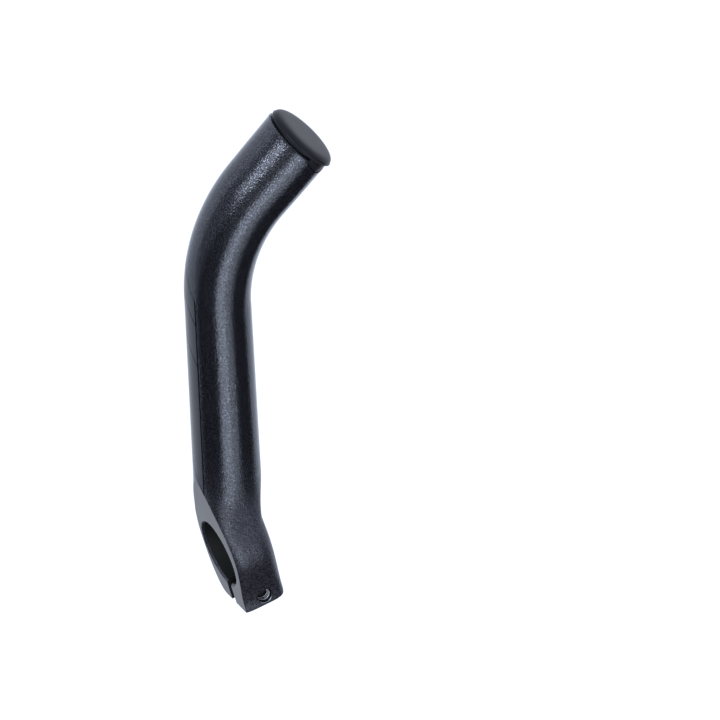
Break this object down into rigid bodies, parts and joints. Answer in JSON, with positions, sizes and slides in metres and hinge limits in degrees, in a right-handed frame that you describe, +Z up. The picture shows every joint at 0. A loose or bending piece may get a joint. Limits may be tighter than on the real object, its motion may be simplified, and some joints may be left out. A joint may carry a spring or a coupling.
{
  "type": "bar end",
  "caption": "Bent, gently flaring tube with an end plug and a split clamp that grips the end of a flat bicycle handlebar.",
  "frame": {"origin": "centre of the clamp bore, halfway across the clamp", "axes": "+X along the handlebar, from the machined outer face towards the inside of the bend; +Z up the leg in the plane of the slot; +Y along the clamp bolt towards its head"},
  "size_m": [0.072, 0.0352, 0.1613],
  "materials": {
    "black_anodised": "bead blasted and black anodised, fine grain, satin",
    "plug_plastic": "moulded, satin, dark grey",
    "bolt_steel": "plain steel, turned"
  },
  "bodies": {
    "root": {"bar_end_body": "black_anodised", "end_plug": "plug_plastic", "clamp_bolt": "bolt_steel"}
  },
  "joints": []
}
